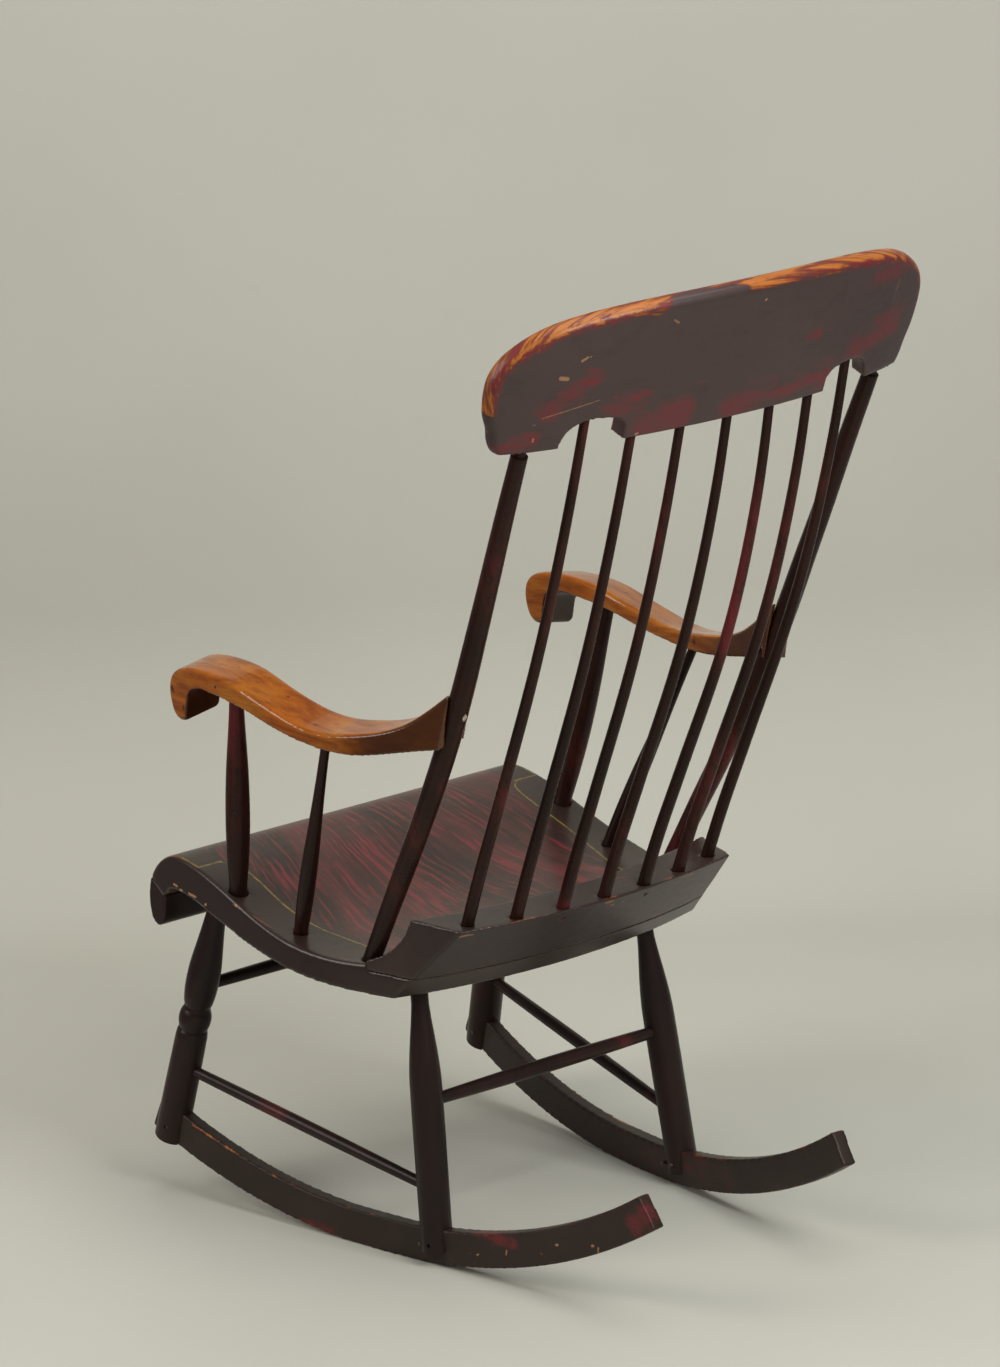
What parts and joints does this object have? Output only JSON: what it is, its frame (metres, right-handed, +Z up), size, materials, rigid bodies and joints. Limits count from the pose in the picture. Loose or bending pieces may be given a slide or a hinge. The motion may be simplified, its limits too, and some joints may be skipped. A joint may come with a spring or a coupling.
{
  "type": "rocking chair",
  "caption": "High-back wooden rocking chair with a rolled plank seat, bent spindles, a shaped crest rail, scrolled arms and curved rockers slotted into turned legs.",
  "frame": {"origin": "centre of the bounding box's base, on the floor under the chair, in its left-right mirror plane", "axes": "+Z up; -Y is the front, where a sitter's feet go; +X is the sitter's left"},
  "size_m": [0.573, 0.792, 1.0815],
  "materials": {
    "dark_paint": "worn satin dark brown paint over red",
    "seat_paint": "satin red and black grain painting",
    "arm_wood": "satin varnished amber wood",
    "iron": "dull darkened iron"
  },
  "bodies": {
    "root": {"arm_front_support_left": "dark_paint", "arm_front_support_right": "dark_paint", "arm_left": "arm_wood", "arm_plug_left": "dark_paint", "arm_plug_right": "dark_paint", "arm_rear_support_left": "dark_paint", "arm_rear_support_right": "dark_paint", "arm_right": "arm_wood", "arm_screw_left": "iron", "arm_screw_right": "iron", "back_post_left": "dark_paint", "back_post_right": "dark_paint", "back_spindle_1": "dark_paint", "back_spindle_2": "dark_paint", "back_spindle_3": "dark_paint", "back_spindle_4": "dark_paint", "back_spindle_5": "dark_paint", "back_spindle_6": "dark_paint", "back_spindle_7": "dark_paint", "crest_rail": "dark_paint", "front_leg_left": "dark_paint", "front_leg_right": "dark_paint", "front_stretcher": "dark_paint", "rear_leg_left": "dark_paint", "rear_leg_right": "dark_paint", "rear_stretcher": "dark_paint", "rocker_left": "dark_paint", "rocker_pin_front_left": "iron", "rocker_pin_front_right": "iron", "rocker_pin_rear_a_left": "iron", "rocker_pin_rear_a_right": "iron", "rocker_pin_rear_b_left": "iron", "rocker_pin_rear_b_right": "iron", "rocker_right": "dark_paint", "seat_back_ledge": "dark_paint", "seat_front_roll": "dark_paint", "seat_plank": "seat_paint", "side_stretcher_left": "dark_paint", "side_stretcher_right": "dark_paint"}
  },
  "joints": []
}
